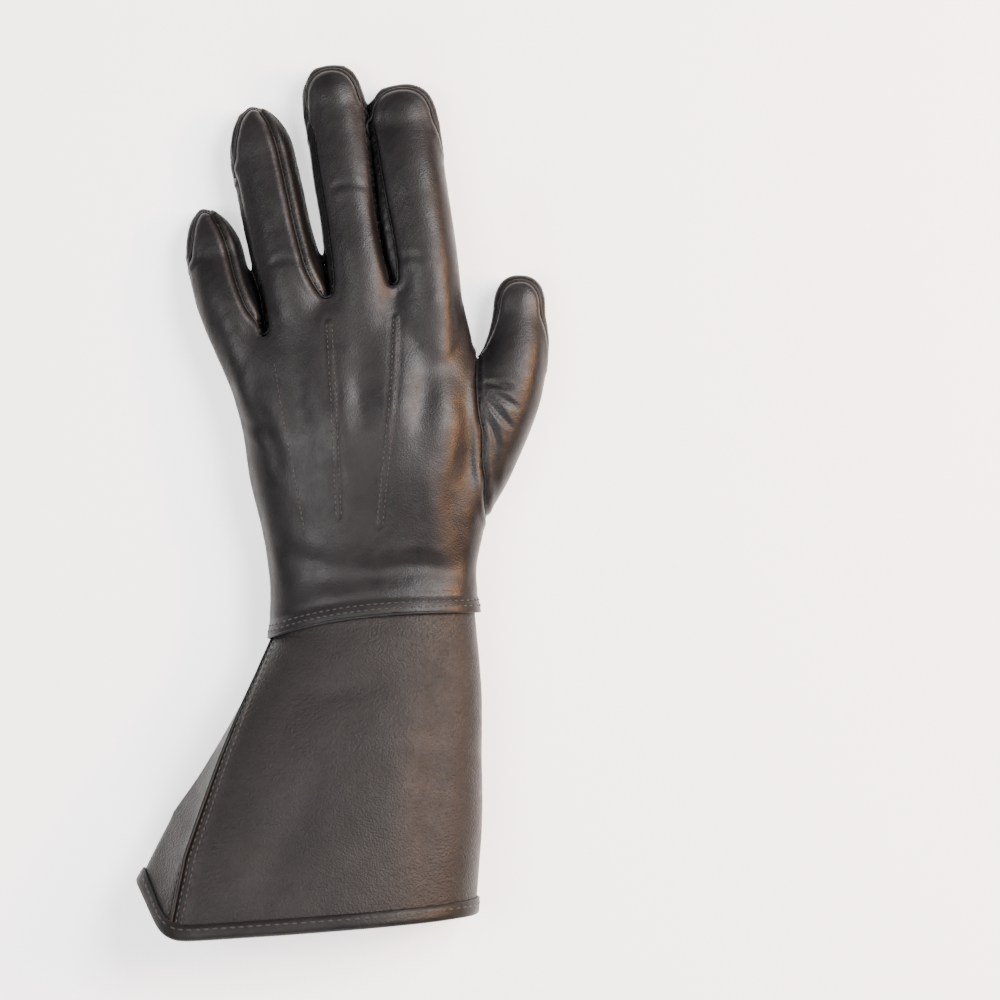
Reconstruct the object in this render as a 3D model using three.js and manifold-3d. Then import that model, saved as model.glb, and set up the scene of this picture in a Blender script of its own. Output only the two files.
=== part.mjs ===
// Leather gauntlet riding glove for the left hand, lying palm down and filled out as if a hand were in it.
// Millimetres. +X is the thumb side, +Y points along the fingers, +Z is the back of the hand.
// The surface it lies on is z = 0, and the origin is the middle of the glove's box on that surface.
import * as THREE from "three";
import { mergeVertices } from "three/addons/utils/BufferGeometryUtils.js";
import Module from "manifold-3d";

const wasm = await Module();
wasm.setup();

// Driving dimensions
const HAND_WALL = 1.5; // soft leather of the hand
const CUFF_WALL = 1.8; // stiffer leather of the gauntlet
const GAP = 0.3; // between neighbouring pieces
const BINDING_WALL = 1.1; // the strip folded over the hem
const BINDING_HEIGHT = 6;
const WRIST_DROOP = 11; // how far the wrist edge drops towards the little-finger side

// Back and palm of the hand without fingers, across stations along Y.
// left and right are the outline's edges, mid the height of its widest line.
// wrist and knuckle say how much of the slant of the open edge and of the knuckle line a station takes.
const HAND = [
  { y: -46, left: -30, right: 57, mid: 19, top: 40, bottom: -1, wrist: 1, knuckle: 0 },
  { y: -30, left: -29.2, right: 55.2, mid: 19, top: 37, bottom: -1, wrist: 0.45, knuckle: 0 },
  { y: -12, left: -32.5, right: 58.5, mid: 19, top: 38, bottom: -1.5, wrist: 0, knuckle: 0 },
  { y: 8, left: -37, right: 63, mid: 19, top: 39.5, bottom: -1.5, wrist: 0, knuckle: 0 },
  { y: 28, left: -40, right: 62.5, mid: 19.5, top: 39.5, bottom: -1, wrist: 0, knuckle: 0.1 },
  { y: 46, left: -45, right: 56.5, mid: 20, top: 36.5, bottom: 2, wrist: 0, knuckle: 0.4 },
  { y: 60, left: -50, right: 51.5, mid: 20, top: 32.5, bottom: 6, wrist: 0, knuckle: 0.9 },
  { y: 67, left: -48.5, right: 49.5, mid: 20, top: 28, bottom: 11, wrist: 0, knuckle: 1 },
];
const KNUCKLE_RISE = 16; // the hand's end runs this much further up at the index than at the little finger
const HAND_POWER = { top: 2.3, bottom: 3.2 };

// Soft hollows pressed into the upper side: middle in plan, direction of the long axis in degrees
// from +X, half length, half width and depth.
const DENTS = [
  { x: 38, y: -112, turn: 86, long: 60, wide: 12, depth: 1.6 },
  { x: 5, y: -76, turn: 8, long: 34, wide: 9, depth: 1 },
  { x: -22, y: -140, turn: 66, long: 44, wide: 13, depth: 1.4 },
  { x: 52, y: 14, turn: 80, long: 24, wide: 9, depth: 2.5 },
  { x: 34, y: 40, turn: 85, long: 26, wide: 7, depth: 1.5 },
  { x: 9, y: 40, turn: 92, long: 30, wide: 7, depth: 1.5 },
  { x: -17, y: 38, turn: 100, long: 28, wide: 7, depth: 1.5 },
  { x: 12, y: -30, turn: 3, long: 40, wide: 7, depth: 1.5 },
];

// Fingers: the middle of each station in plan, its width, depth and height above the surface.
const FINGERS = {
  little: {
    tip: 20.5,
    bluntness: 1.7,
    rows: [
      { x: -33, y: 40, width: 18, depth: 22, z: 20 },
      { x: -42.4, y: 67, width: 22, depth: 24, z: 17.5 },
      { x: -48.6, y: 87, width: 24.6, depth: 21.5, z: 14.8 },
      { x: -52.3, y: 99.8, width: 23.4, depth: 19.8, z: 11.4 },
    ],
  },
  ring: {
    tip: 20,
    bluntness: 1.8,
    rows: [
      { x: -12, y: 50, width: 24, depth: 24, z: 20.5 },
      { x: -18.6, y: 80, width: 28.2, depth: 25.5, z: 19.5 },
      { x: -25.9, y: 111, width: 27.2, depth: 23.5, z: 16 },
      { x: -32.8, y: 142.1, width: 26, depth: 21.5, z: 11.5 },
    ],
  },
  middle: {
    tip: 17,
    bluntness: 2.5,
    rows: [
      { x: 13, y: 55, width: 25, depth: 24, z: 20.8 },
      { x: 9.3, y: 85, width: 27.4, depth: 26, z: 20.5 },
      { x: 3.7, y: 120, width: 26.4, depth: 24.5, z: 17 },
      { x: -3.2, y: 162, width: 25, depth: 22, z: 11.2 },
    ],
  },
  index: {
    tip: 16,
    bluntness: 2.5,
    rows: [
      { x: 38, y: 48, width: 22, depth: 23, z: 20.8 },
      { x: 36.8, y: 86, width: 25, depth: 26, z: 20.5 },
      { x: 30.7, y: 128, width: 25.8, depth: 24, z: 16.5 },
      { x: 26.4, y: 155, width: 27.2, depth: 22, z: 11.2 },
    ],
  },
};
const THUMB = {
  tip: 15.5,
  bluntness: 2.5,
  rows: [
    { x: 42, y: -8, width: 30, depth: 25, z: 16.5 },
    { x: 53.1, y: 16, width: 35, depth: 27, z: 16 },
    { x: 66, y: 42, width: 31.5, depth: 27, z: 15 },
    { x: 72.3, y: 62, width: 26, depth: 24.5, z: 13.3 },
    { x: 73.2, y: 77, width: 21.8, depth: 22, z: 11.2 },
  ],
};

// Gauntlet, from the wrist (first row) to the hem: the fold on the thumb side, the seam of the gusset on the
// back, the gusset's own fold, the same seam on the palm side, and the height of the middle of back and palm.
// round is 1 where the section is a full oval and 0 where its little-finger side runs out flat to the gusset.
const CUFF = [
  { right: [54.8, -46, 19], seam: [-27.6, -56.6, 20.5], fold: [-27.9, -57.3, 19], under: [-27.6, -56.6, 17.5],
    middle: 13.5, crown: 37.8, floor: 2.1, round: 1 },
  { right: [57.3, -77, 21], seam: [-40.3, -86, 31], fold: [-39.4, -81, 21], under: [-40, -86, 9],
    middle: 12, crown: 43, floor: 1.5, round: 0.6 },
  { right: [57.8, -107, 23], seam: [-52.6, -116, 39], fold: [-53.2, -105, 22.5], under: [-52.4, -116, 4.5],
    middle: 6, crown: 49, floor: 1.4, round: 0.3 },
  { right: [57.4, -138, 25], seam: [-62.8, -147, 46], fold: [-69.6, -129, 24], under: [-62.6, -147, 2.7],
    middle: 0, crown: 54, floor: 1.4, round: 0.1 },
  { right: [55.7, -167.5, 26], seam: [-69.8, -177, 51], fold: [-84.2, -152, 25], under: [-69.6, -176, 2.2],
    middle: -5, crown: 58, floor: 1.4, round: 0 },
];

// Strips between the fingers: finger, side (1 is the thumb side), and how far up and down the finger's side
// the strip reaches, as shares of the finger's depth. The little and ring fingers are rolled, so theirs show.
const FORKS = {
  fourchette_little_ring: [["little", 1, 0.42, 0.12], ["ring", -1, 0.21, 0.22]],
  fourchette_ring_middle: [["ring", 1, 0.42, 0.12], ["middle", -1, 0.31, 0.19]],
  fourchette_middle_index: [["middle", 1, 0.2, 0.22], ["index", -1, 0.31, 0.19]],
};
const FORK_END = 0.93; // share of the finger's length from root to the start of its tip

// The leaf-shaped gusset at the root of the thumb, on the palm: its outline in plan.
const LEAF = [
  [57, 42],
  [50, 41],
  [42.5, 34],
  [38.5, 22],
  [37.5, 9],
  [39, -3],
  [43, -13],
  [50, -15],
  [62, 0],
  [66, 25],
];
const LEAF_TOP = 13;

// The gauntlet's upper edge, inside the hand.
const CUFF_TOP = {
  right: [53.8, -38, 19], seam: [-27, -48.6, 20.5], fold: [-27.3, -49.3, 19], under: [-27, -48.6, 17.5],
  middle: 13.5, crown: 36.7, floor: 2.2, round: 1,
};

// How finely the lofts are divided
const HAND_QUARTER = 7; // segments in a quarter of the hand's section
const FINGER_QUARTER = 3;
const FINGER_STATIONS = 7;
const HAND_STATIONS = 13;
const CUFF_STATIONS = 8;
const CUFF_QUARTER = 9;
const TIP_SHARES = [0.45, 0.75, 0.94];

const range = (n) => [...Array(n).keys()];
const lerp = THREE.MathUtils.lerp;
const power = (value, exponent) => Math.sign(value) * Math.abs(value) ** exponent;

// Smooth curve through a table's rows, at a share t of the way from its first row to its last.
function rowAt(rows, t) {
  const place = t * (rows.length - 1);
  const start = Math.min(Math.floor(place), rows.length - 2);
  const f = place - start;
  const row = (i) => rows[THREE.MathUtils.clamp(i, 0, rows.length - 1)];
  const through = (a, b, c, d) =>
    b + 0.5 * f * (c - a + f * (2 * a - 5 * b + 4 * c - d + f * (3 * (b - c) + d - a)));
  const column = (key) => {
    const values = range(4).map((i) => row(start - 1 + i)[key]);
    if (!Array.isArray(values[0])) return through(...values);
    return values[0].map((_, axis) => through(...values.map((value) => value[axis])));
  };
  return Object.fromEntries(Object.keys(rows[0]).map((key) => [key, column(key)]));
}

// Closed oval in an upright plane: from its left edge over the top to the right edge and back underneath.
// The section's middle is (x, y, z), side its direction in plan, and nothing goes below the floor.
function oval({ x, y, z, side, half, up, down, topPower, bottomPower, floor }, quarter) {
  return range(4 * quarter).map((i) => {
    const angle = Math.PI * (1 - i / (2 * quarter));
    const rise = Math.sin(angle);
    const exponent = 2 / (rise >= 0 ? topPower : bottomPower);
    const across = half * power(Math.cos(angle), exponent);
    const height = (rise >= 0 ? up : down) * power(rise, exponent);
    return new THREE.Vector3(x + side.x * across, y + side.y * across, Math.max(z + height, floor));
  });
}

// A solid through closed rings of points. Each end is closed across, from the ring's upper to its lower half.
function loft(rings) {
  const count = rings[0].length;
  const index = [];
  rings.slice(1).forEach((_, r) => {
    range(count).forEach((i) => {
      const [a, b] = [r * count + i, r * count + ((i + 1) % count)];
      index.push(a, b, a + count, b, b + count, a + count);
    });
  });
  const last = (rings.length - 1) * count;
  range(count / 2).forEach((i) => {
    const [p, q, r, s] = [i, i + 1, (count - i) % count, count - i - 1];
    if (p !== r) index.push(p, r, q, last + p, last + q, last + r);
    if (q !== s) index.push(q, r, s, last + q, last + s, last + r);
  });
  return meshOf(rings.flat(), index);
}

// A sheet of leather: a grid of outer points, and the same grid set in by its thickness.
// cyclic joins its ends.
function sheet(outer, inner, cyclic = false) {
  const [rows, columns] = [outer.length, outer[0].length];
  const points = [...outer.flat(), ...inner.flat()];
  const far = rows * columns;
  const index = [];
  const quad = (a, b, c, d) => index.push(a, b, c, a, c, d);
  const at = (r, c) => (r % rows) * columns + c;
  range(cyclic ? rows : rows - 1).forEach((r) => {
    range(columns - 1).forEach((c) => {
      quad(at(r, c), at(r + 1, c), at(r + 1, c + 1), at(r, c + 1));
      quad(far + at(r, c), far + at(r, c + 1), far + at(r + 1, c + 1), far + at(r + 1, c));
    });
    quad(at(r, 0), far + at(r, 0), far + at(r + 1, 0), at(r + 1, 0));
    const end = columns - 1;
    quad(at(r, end), at(r + 1, end), far + at(r + 1, end), far + at(r, end));
  });
  if (!cyclic) {
    range(columns - 1).forEach((c) => {
      quad(at(0, c), at(0, c + 1), far + at(0, c + 1), far + at(0, c));
      const r = rows - 1;
      quad(at(r, c), far + at(r, c), far + at(r, c + 1), at(r, c + 1));
    });
  }
  return meshOf(points, index);
}

function meshOf(points, index) {
  const geometry = new THREE.BufferGeometry().setFromPoints(points);
  geometry.setIndex(index);
  return geometry;
}

// Booleans
function solidOf(geometry) {
  const bare = geometry.clone();
  bare.deleteAttribute("normal");
  bare.deleteAttribute("uv");
  const merged = mergeVertices(bare, 1e-4);
  const solid = new wasm.Manifold(
    new wasm.Mesh({
      numProp: 3,
      vertProperties: new Float32Array(merged.attributes.position.array),
      triVerts: new Uint32Array(merged.index.array),
    }),
  );
  return solid;
}

function geometryOf(solid) {
  const mesh = solid.getMesh();
  const geometry = new THREE.BufferGeometry();
  geometry.setAttribute("position", new THREE.BufferAttribute(mesh.vertProperties.slice(), 3));
  geometry.setIndex(new THREE.BufferAttribute(mesh.triVerts.slice(), 1));
  geometry.computeVertexNormals();
  return geometry;
}

const join = (solids) => solids.reduce((whole, solid) => whole.add(solid));
const cut = (solid, cutters) => cutters.reduce((rest, cutter) => rest.subtract(cutter), solid);

// Hand
const wristShift = (x) => -WRIST_DROOP * Math.max(0, (56 - x) / 86) ** 3;
const knuckleShift = (x) => KNUCKLE_RISE * THREE.MathUtils.smoothstep(x, -42, 0);

// How far the upper side is pressed in at a place in plan.
function dent(x, y) {
  return DENTS.reduce((sum, { x: cx, y: cy, turn, long, wide, depth }) => {
    const angle = THREE.MathUtils.degToRad(turn);
    const along = (x - cx) * Math.cos(angle) + (y - cy) * Math.sin(angle);
    const across = (y - cy) * Math.cos(angle) - (x - cx) * Math.sin(angle);
    return sum + depth * Math.exp(-((along / long) ** 2) * 2 - ((across / wide) ** 2) * 2);
  }, 0);
}

function handRing(row, inset) {
  const ring = oval(
    {
      x: (row.left + row.right) / 2,
      y: row.y,
      z: row.mid,
      side: new THREE.Vector2(1, 0),
      half: (row.right - row.left) / 2 - inset,
      up: row.top - row.mid - inset,
      down: row.mid - row.bottom - inset,
      topPower: HAND_POWER.top,
      bottomPower: HAND_POWER.bottom,
      floor: inset,
    },
    HAND_QUARTER,
  );
  ring.forEach((p) => {
    p.y += row.wrist * wristShift(p.x) + row.knuckle * knuckleShift(p.x);
    const upper = THREE.MathUtils.clamp((p.z - row.mid) / 12, 0, 1);
    p.z -= upper * dent(p.x, p.y);
  });
  return ring;
}

function handLoft(inset) {
  const rings = range(HAND_STATIONS).map((i) => handRing(rowAt(HAND, i / (HAND_STATIONS - 1)), inset));
  rings.at(-1).forEach((p) => (p.y -= inset));
  // the inside runs out past the open wrist
  if (inset > 0) rings.unshift(rings[0].map((p) => p.clone().setY(p.y - 2)));
  return loft(rings);
}

// Fingers and thumb
function fingerStations({ rows, tip, bluntness }, inset) {
  const shares = range(FINGER_STATIONS).map((i) => i / (FINGER_STATIONS - 1));
  const stations = shares.map((share) => ({ ...rowAt(rows, share), share: 1 }));
  const end = stations.at(-1);
  const before = rowAt(rows, 0.95);
  const ahead = new THREE.Vector2(end.x - before.x, end.y - before.y).normalize();
  TIP_SHARES.forEach((share) => {
    const along = share * (tip - inset);
    stations.push({
      ...end,
      x: end.x + ahead.x * along,
      y: end.y + ahead.y * along,
      share: (1 - share ** bluntness) ** (1 / bluntness),
    });
  });
  stations.forEach((station, i) => {
    const [from, to] = [stations[Math.max(i - 1, 0)], stations[Math.min(i + 1, stations.length - 1)]];
    const along = new THREE.Vector2(to.x - from.x, to.y - from.y).normalize();
    station.side = new THREE.Vector2(along.y, -along.x);
  });
  return stations;
}

function fingerLoft(finger, inset) {
  const rings = fingerStations(finger, inset).map((s) =>
    oval(
      {
        ...s,
        half: (s.width / 2 - inset) * s.share,
        up: (s.depth / 2 - inset) * s.share,
        down: (s.depth / 2 - inset) * s.share,
        topPower: 2.3,
        bottomPower: 2.4,
        floor: inset,
      },
      FINGER_QUARTER,
    ),
  );
  return loft(rings);
}

// A box-shaped region that follows a finger: from one side offset to another and between two heights.
function fingerRegion(finger, from, to, low, high, ends = [0, 1]) {
  const stations = fingerStations(finger, 0);
  const last = stations.at(-1);
  const ahead = new THREE.Vector2(-last.side.y, last.side.x);
  stations.push({ ...last, x: last.x + ahead.x * 4, y: last.y + ahead.y * 4 });
  const kept = stations.filter((_, i) => {
    const share = i / (FINGER_STATIONS - 1);
    return share >= ends[0] && share <= ends[1];
  });
  return loft(
    kept.map((s) => {
      const corner = (across, height) =>
        new THREE.Vector3(s.x + s.side.x * across, s.y + s.side.y * across, s.z + height);
      return [
        corner(from(s), low(s)),
        corner(from(s), high(s)),
        corner(to(s), high(s)),
        corner(to(s), low(s)),
      ];
    }),
  );
}

// Everything above the line where back and palm meet, lowered by an allowance.
const FAR = 60;
function backRegion(allowance) {
  const hand = loft(
    [{ ...HAND[0], y: -80 }, ...HAND, { ...HAND.at(-1), y: 92 }].map((row) =>
      [
        [-FAR - 40, row.mid - allowance],
        [-FAR - 40, FAR],
        [FAR + 40, FAR],
        [FAR + 40, row.mid - allowance],
      ].map(([x, z]) => new THREE.Vector3(x, row.y, z)),
    ),
  );
  const past = (s) => s.width / 2 + 0.6;
  const fingers = Object.values(FINGERS).map((finger) =>
    fingerRegion(finger, (s) => -past(s), past, () => -allowance, () => FAR, [0, 9]),
  );
  return join([hand, ...fingers].map(solidOf));
}

// The side of a finger that the strip between two fingers covers, grown by an allowance.
function forkRegion([name, direction, up, down], allowance) {
  const finger = FINGERS[name];
  const reach = (s) => {
    const run = (s.y - finger.rows[0].y) / (finger.rows.at(-1).y - finger.rows[0].y);
    return s.depth * THREE.MathUtils.clamp((1.12 - run) * 4, 0.3, 1);
  };
  const near = (s) => s.width * 0.16 - allowance;
  const far = (s) => s.width / 2 + 1.2 + allowance;
  const [from, to] = direction > 0 ? [near, far] : [(s) => -far(s), (s) => -near(s)];
  return fingerRegion(
    finger,
    from,
    to,
    (s) => -reach(s) * down - allowance,
    (s) => reach(s) * up + allowance,
    [0.15, FORK_END + (allowance > 0 ? 0.08 : 0)],
  );
}

const forkSolid = (sides, allowance) => join(sides.map((side) => solidOf(forkRegion(side, allowance))));

function leafRegion(allowance) {
  const mean = (axis) => LEAF.reduce((sum, point) => sum + point[axis], 0) / LEAF.length;
  const middle = [mean(0), mean(1)];
  const outline = LEAF.map(([x, y]) => {
    const out = new THREE.Vector2(x - middle[0], y - middle[1]);
    out.setLength(out.length() + allowance);
    return new THREE.Vector2(middle[0] + out.x, middle[1] + out.y);
  });
  const shape = new THREE.Shape(outline);
  const prism = new THREE.ExtrudeGeometry(shape, { depth: LEAF_TOP + 5 + allowance, bevelEnabled: false });
  return solidOf(prism.translate(0, 0, -5));
}

// The hand's pieces are cut from one hollow form, as the real ones are sewn into one.
const fingers = Object.values(FINGERS);
const handOuter = solidOf(handLoft(0));
const thumbOuter = solidOf(fingerLoft(THUMB, 0));
const thumbInner = solidOf(fingerLoft(THUMB, HAND_WALL));
const fingerSolids = (inset) => fingers.map((finger) => solidOf(fingerLoft(finger, inset)));
const outer = join([handOuter, ...fingerSolids(0)]);
const inner = join([solidOf(handLoft(HAND_WALL)), ...fingerSolids(HAND_WALL)]);
const thumbHole = solidOf(fingerLoft(THUMB, -GAP));
const skin = outer.subtract(inner);
const openSkin = skin.subtract(thumbHole);

const forkCutters = Object.values(FORKS).map((sides) => forkSolid(sides, GAP));
const handBack = cut(openSkin.intersect(backRegion(0)), forkCutters);
const handPalm = cut(openSkin.subtract(backRegion(GAP)), [...forkCutters, leafRegion(GAP)]);
const leaf = cut(openSkin.subtract(backRegion(GAP)).intersect(leafRegion(0)), forkCutters);
const handGrown = solidOf(handLoft(-GAP));
const indexGrown = solidOf(fingerLoft(FINGERS.index, -GAP));
const thumb = cut(thumbOuter.subtract(thumbInner), [handGrown, indexGrown]);

// Gauntlet
function cuffRow(t) {
  return rowAt(CUFF, t);
}

// Points of a gauntlet section from the seam on the back round the thumb side to the seam on the palm.
function cuffArc(row) {
  const { right, seam, under, middle, crown, floor, round } = row;
  const quarter = range(CUFF_QUARTER).map((i) => i / CUFF_QUARTER);
  const turn = (share) => (Math.PI / 2) * share;
  const point = (x, z, start) => {
    const share = (x - start[0]) / (right[0] - start[0]);
    return new THREE.Vector3(x, lerp(start[1], right[1], share), z);
  };
  const backLeft = quarter.map((share) => {
    const run = lerp(share, 1 - Math.cos(turn(share)), round);
    const rise = (1 - (1 - run) ** 2.3) ** (1 / lerp(1, 2.3, round));
    return point(lerp(seam[0], middle, run), lerp(seam[2], crown, rise), seam);
  });
  const backRight = quarter.map((share) => {
    const x = middle + (right[0] - middle) * Math.sin(turn(share)) ** (2 / 2.3);
    return point(x, right[2] + (crown - right[2]) * Math.cos(turn(share)) ** (2 / 2.3), seam);
  });
  const palmRight = quarter.map((share) => {
    const x = middle + (right[0] - middle) * Math.cos(turn(share)) ** (2 / 3);
    return point(x, right[2] - (right[2] - floor) * Math.sin(turn(share)) ** (2 / 3), under);
  });
  const palmLeft = [...quarter, 1].map((share) => {
    const run = lerp(share, Math.sin(turn(share)), round);
    const oval = 1 - Math.max(1 - run ** 3, 0) ** (1 / 3);
    return point(lerp(middle, under[0], run), lerp(floor, under[2], lerp(run ** 4, oval, round)), under);
  });
  return [...backLeft, ...backRight, ...palmRight, ...palmLeft];
}

// Points of the gusset from the seam on the back over its fold to the seam on the palm.
const GUSSET_SHARES = [0, 0.3, 0.6, 0.85, 1, 1.15, 1.4, 1.7, 2];
function gussetArc(row) {
  const seam = new THREE.Vector3(...row.seam);
  const fold = new THREE.Vector3(...row.fold);
  const under = new THREE.Vector3(...row.under);
  return GUSSET_SHARES.map((s) =>
    s <= 1 ? seam.clone().lerp(fold, s) : fold.clone().lerp(under, s - 1),
  );
}

// Outward direction at each point of a grid of points, rows running towards the hem.
function outwards(grid, cyclic = false) {
  return grid.map((line, r) =>
    line.map((_, c) => {
      const count = line.length;
      const pick = (i) => (cyclic ? line[(i + count) % count] : line[THREE.MathUtils.clamp(i, 0, count - 1)]);
      const along = grid[Math.min(r + 1, grid.length - 1)][c].clone().sub(grid[Math.max(r - 1, 0)][c]);
      const round = pick(c + 1).clone().sub(pick(c - 1));
      return along.cross(round).normalize();
    }),
  );
}

const offset = (grid, directions, distance) =>
  grid.map((line, r) => line.map((p, c) => p.clone().addScaledVector(directions[r][c], distance)));

const cuffShares = range(CUFF_STATIONS + 1).map((i) => i / CUFF_STATIONS);
const cuffRows = cuffShares.map(cuffRow);
const pressed = (line) => {
  line.forEach((p) => (p.z -= THREE.MathUtils.clamp((p.z - 26) / 10, 0, 1) * dent(p.x, p.y)));
  return line;
};
const panelGrid = cuffRows.map((row) => pressed(cuffArc(row)));
const gussetGrid = cuffRows.map(gussetArc);

panelGrid.unshift(cuffArc(CUFF_TOP));
gussetGrid.unshift(gussetArc(CUFF_TOP));

// The panel stops short of the gusset by half the gap on each side of the seam.
const stopShort = (line) => {
  const last = line.length - 1;
  const step = (from, to) => line[to].clone().sub(line[from]).setLength(GAP);
  line[0].add(step(0, 1));
  line[last].add(step(last, last - 1));
};
const wholeRing = panelGrid.map((line, r) => {
  const back = gussetGrid[r].slice().reverse();
  return [...line.slice(0, -1), ...back.slice(0, -1)];
});
const rounded = (line) =>
  line.map((p, i) => {
    const [before, after] = [line.at(i - 1), line[(i + 1) % line.length]];
    return p.clone().multiplyScalar(0.5).addScaledVector(before, 0.25).addScaledVector(after, 0.25);
  });
// the hem's corners are rounded
wholeRing[wholeRing.length - 1] = rounded(rounded(wholeRing.at(-1)));
wholeRing[wholeRing.length - 2] = rounded(rounded(wholeRing.at(-2)));
wholeRing[wholeRing.length - 3] = rounded(wholeRing.at(-3));
const ringOut = outwards(wholeRing, true);
const wholeInner = offset(wholeRing, ringOut, -CUFF_WALL);
const panelCount = panelGrid[0].length;
const pickPanel = (line) => line.slice(0, panelCount).map((p) => p.clone());
const pickGusset = (line) => [...line.slice(panelCount - 1), line[0]].map((p) => p.clone());
const [panelOuter, panelInner] = [wholeRing.map(pickPanel), wholeInner.map(pickPanel)];
const [gussetOuter, gussetInner] = [wholeRing.map(pickGusset), wholeInner.map(pickGusset)];
[...panelOuter, ...panelInner].forEach(stopShort);

// Binding: a strip folded over the hem, U-shaped in section, following the whole mouth of the gauntlet.
function binding() {
  const hem = wholeRing.at(-1);
  const above = wholeRing.at(-2);
  const out = ringOut.at(-1);
  const rings = hem.map((p, i) => {
    const down = p.clone().sub(above[i]).normalize();
    const place = (outward, drop) => {
      const at = p.clone().addScaledVector(out[i], outward).addScaledVector(down, drop);
      return at.setZ(Math.max(at.z, 0));
    };
    const face = GAP + BINDING_WALL;
    return {
      outer: [
        place(face, -BINDING_HEIGHT),
        place(face, face - 0.6),
        place(face - 0.6, face),
        place(-CUFF_WALL - face, face),
        place(-CUFF_WALL - face, -BINDING_HEIGHT),
      ],
      inner: [
        place(GAP, -BINDING_HEIGHT),
        place(GAP, GAP - 0.1),
        place(GAP - 0.1, GAP),
        place(-CUFF_WALL - GAP, GAP),
        place(-CUFF_WALL - GAP, -BINDING_HEIGHT),
      ],
    };
  });
  return sheet(rings.map((r) => r.outer.reverse()), rings.map((r) => r.inner.reverse()), true);
}

// Materials
const handLeather = new THREE.MeshStandardMaterial({ color: 0x3a3636, roughness: 0.42, metalness: 0 });
const cuffLeather = new THREE.MeshStandardMaterial({ color: 0x423c3a, roughness: 0.55, metalness: 0 });
const edgeLeather = new THREE.MeshStandardMaterial({ color: 0x2a2726, roughness: 0.5, metalness: 0 });

const glove = new THREE.Group();
function place(name, geometry, material) {
  const mesh = new THREE.Mesh(geometry, material);
  mesh.name = name;
  glove.add(mesh);
}

place("hand_back", geometryOf(handBack), handLeather);
place("hand_palm", geometryOf(handPalm), handLeather);
for (const [name, sides] of Object.entries(FORKS)) {
  place(name, geometryOf(skin.intersect(forkSolid(sides, 0))), handLeather);
}
place("thumb", geometryOf(thumb), handLeather);
place("thumb_gusset", geometryOf(leaf), handLeather);
place("cuff_panel", sheet(panelOuter, panelInner), cuffLeather);
place("cuff_gusset", sheet(gussetOuter, gussetInner), cuffLeather);
place("hem_binding", binding(), edgeLeather);

// The origin is the middle of the whole glove's box, on the surface that it lies on.
const box = new THREE.Box3().setFromObject(glove);
const middle = box.getCenter(new THREE.Vector3());
glove.children.forEach((mesh) => mesh.geometry.translate(-middle.x, -middle.y, -box.min.z));

export default glove;
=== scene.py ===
"""Left-hand leather gauntlet glove lying palm down. Lengths in the tables are millimetres."""
import math

import bpy
import numpy as np
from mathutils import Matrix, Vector, noise
from mathutils.bvhtree import BVHTree


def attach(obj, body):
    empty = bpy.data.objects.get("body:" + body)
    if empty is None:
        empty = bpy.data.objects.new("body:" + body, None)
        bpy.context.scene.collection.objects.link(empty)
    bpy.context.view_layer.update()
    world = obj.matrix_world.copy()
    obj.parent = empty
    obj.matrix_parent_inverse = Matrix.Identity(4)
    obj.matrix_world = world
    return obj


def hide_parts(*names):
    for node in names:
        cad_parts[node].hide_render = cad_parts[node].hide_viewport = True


MM = 0.001
VOXEL = 1.18  # of the skin round hand and fingers
WALL = 1.4
CUFF_WALL = 1.8
PITCH = 0.8  # between the points of a seam line
SAMPLES = 160  # stations of a finger without its tip

# How square the sections are: the hand above and below its widest line, and the fingers.
HAND_TOP, HAND_SOLE = 2.3, 3.2
FINGER_TOP, FINGER_SOLE, FINGER_MEAN = 2.3, 2.4, 2.35

# Hand without fingers, across stations along Y: y, left and right edge, height of the widest line, top and
# bottom, and how much of the slant of the wrist's edge and of the knuckle line the station takes.
HAND = np.array([
    (-46, -30, 57, 19, 40, -1, 1, 0),
    (-30, -29.2, 55.2, 19, 37, -1, 0.45, 0),
    (-12, -32.5, 58.5, 19, 38, -1.5, 0, 0),
    (8, -37, 63, 19, 39.5, -1.5, 0, 0),
    (28, -40, 62.5, 19.5, 39.5, -1, 0, 0.1),
    (46, -45, 56.5, 20, 36.5, 2, 0, 0.4),
    (60, -50, 51.5, 20, 32.5, 6, 0, 0.9),
    (67, -48.5, 49.5, 20, 28, 11, 0, 1),
], float)
WRIST_EDGE = -46
WRIST_DROOP = 11
KNUCKLE_RISE = 16
KNUCKLES = (-42, 0)  # from the little finger's knuckle to the middle one's, along X

# Fingers and thumb: length and bluntness of the tip, then the stations from root to tip as the middle
# of each in plan, its width, its depth and the height of its middle.
FINGERS = {
    "little": (20.5, 1.7, [(-33, 40, 18, 22, 20), (-41.5, 67, 24.2, 24, 17.5), (-49.1, 87, 24.2, 21.5, 14.8),
                           (-52.3, 99.8, 23.4, 19.8, 11.4)]),
    "ring": (20, 1.8, [(-12, 50, 24, 24, 20.5), (-18.6, 80, 28.2, 25.5, 19.5), (-26.1, 111, 26.8, 23.5, 16),
                       (-32.8, 142.1, 26, 21.5, 11.5)]),
    "middle": (17, 2.5, [(13, 55, 25, 24, 20.8), (9.6, 85, 27.6, 26, 20.5), (3.9, 120, 26.4, 24.5, 17),
                         (-3.1, 162, 25.4, 22, 11.2)]),
    "index": (16, 2.5, [(38, 48, 22, 23, 20.8), (36.1, 86, 26.2, 26, 20.5), (29.3, 128, 28.4, 24, 16.5),
                        (25.5, 155, 28.8, 22, 11.2)]),
    "thumb": (15.5, 2.5, [(42, -8, 30, 25, 16.5), (53.1, 16, 35, 27, 16), (66, 42, 31.5, 27, 15),
                          (72.3, 62, 26, 24.5, 13.3), (73.2, 77, 21.8, 22, 11.2)]),
}

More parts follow.
